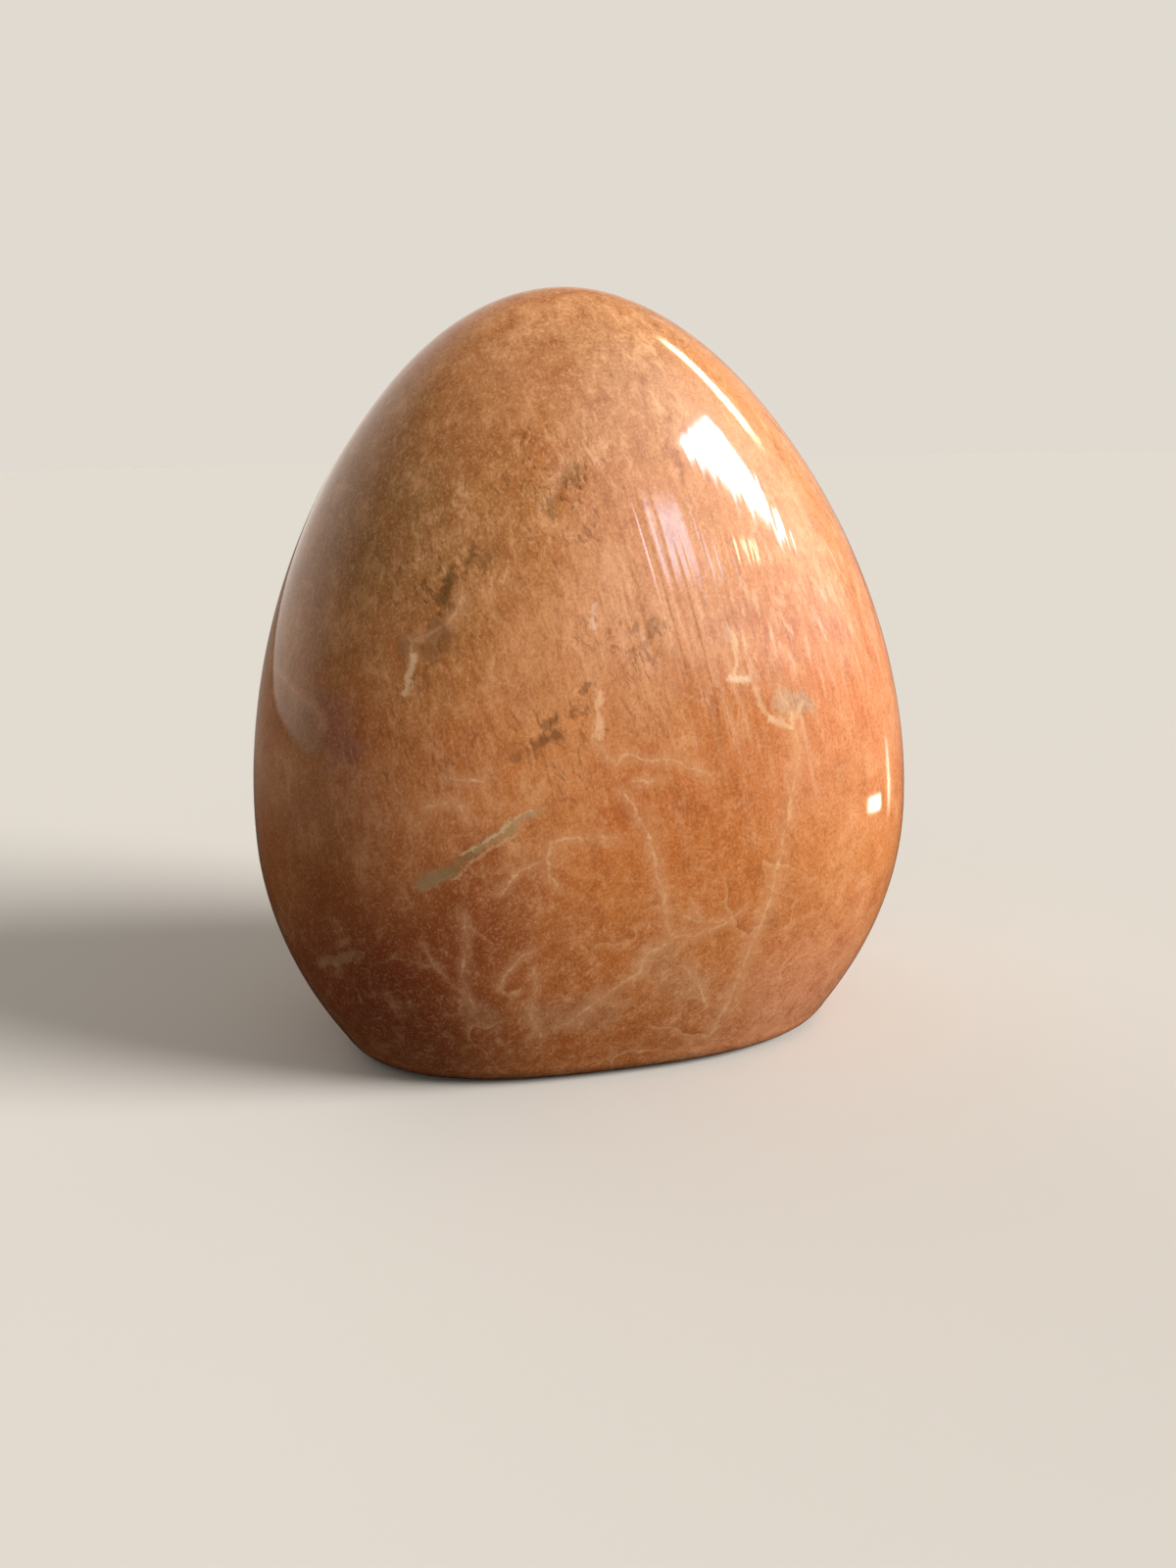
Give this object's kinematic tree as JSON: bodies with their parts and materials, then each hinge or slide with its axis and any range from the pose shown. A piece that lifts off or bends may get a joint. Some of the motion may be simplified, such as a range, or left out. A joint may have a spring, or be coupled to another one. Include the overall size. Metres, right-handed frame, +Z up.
{
  "type": "polished moonstone freeform",
  "caption": "Tall flattened egg of polished peach moonstone that stands upright on a flat sawn base, with soft rounded sides.",
  "frame": {"origin": "in the plane of the sawn base, under the middle of the stone's width and depth", "axes": "+Z up, from the base to the tip; -Y towards the broad face that the picture shows; +X to that face's right"},
  "size_m": [0.0776, 0.05, 0.0864],
  "materials": {
    "moonstone": "polished"
  },
  "bodies": {
    "root": {"moonstone": "moonstone"}
  },
  "joints": []
}
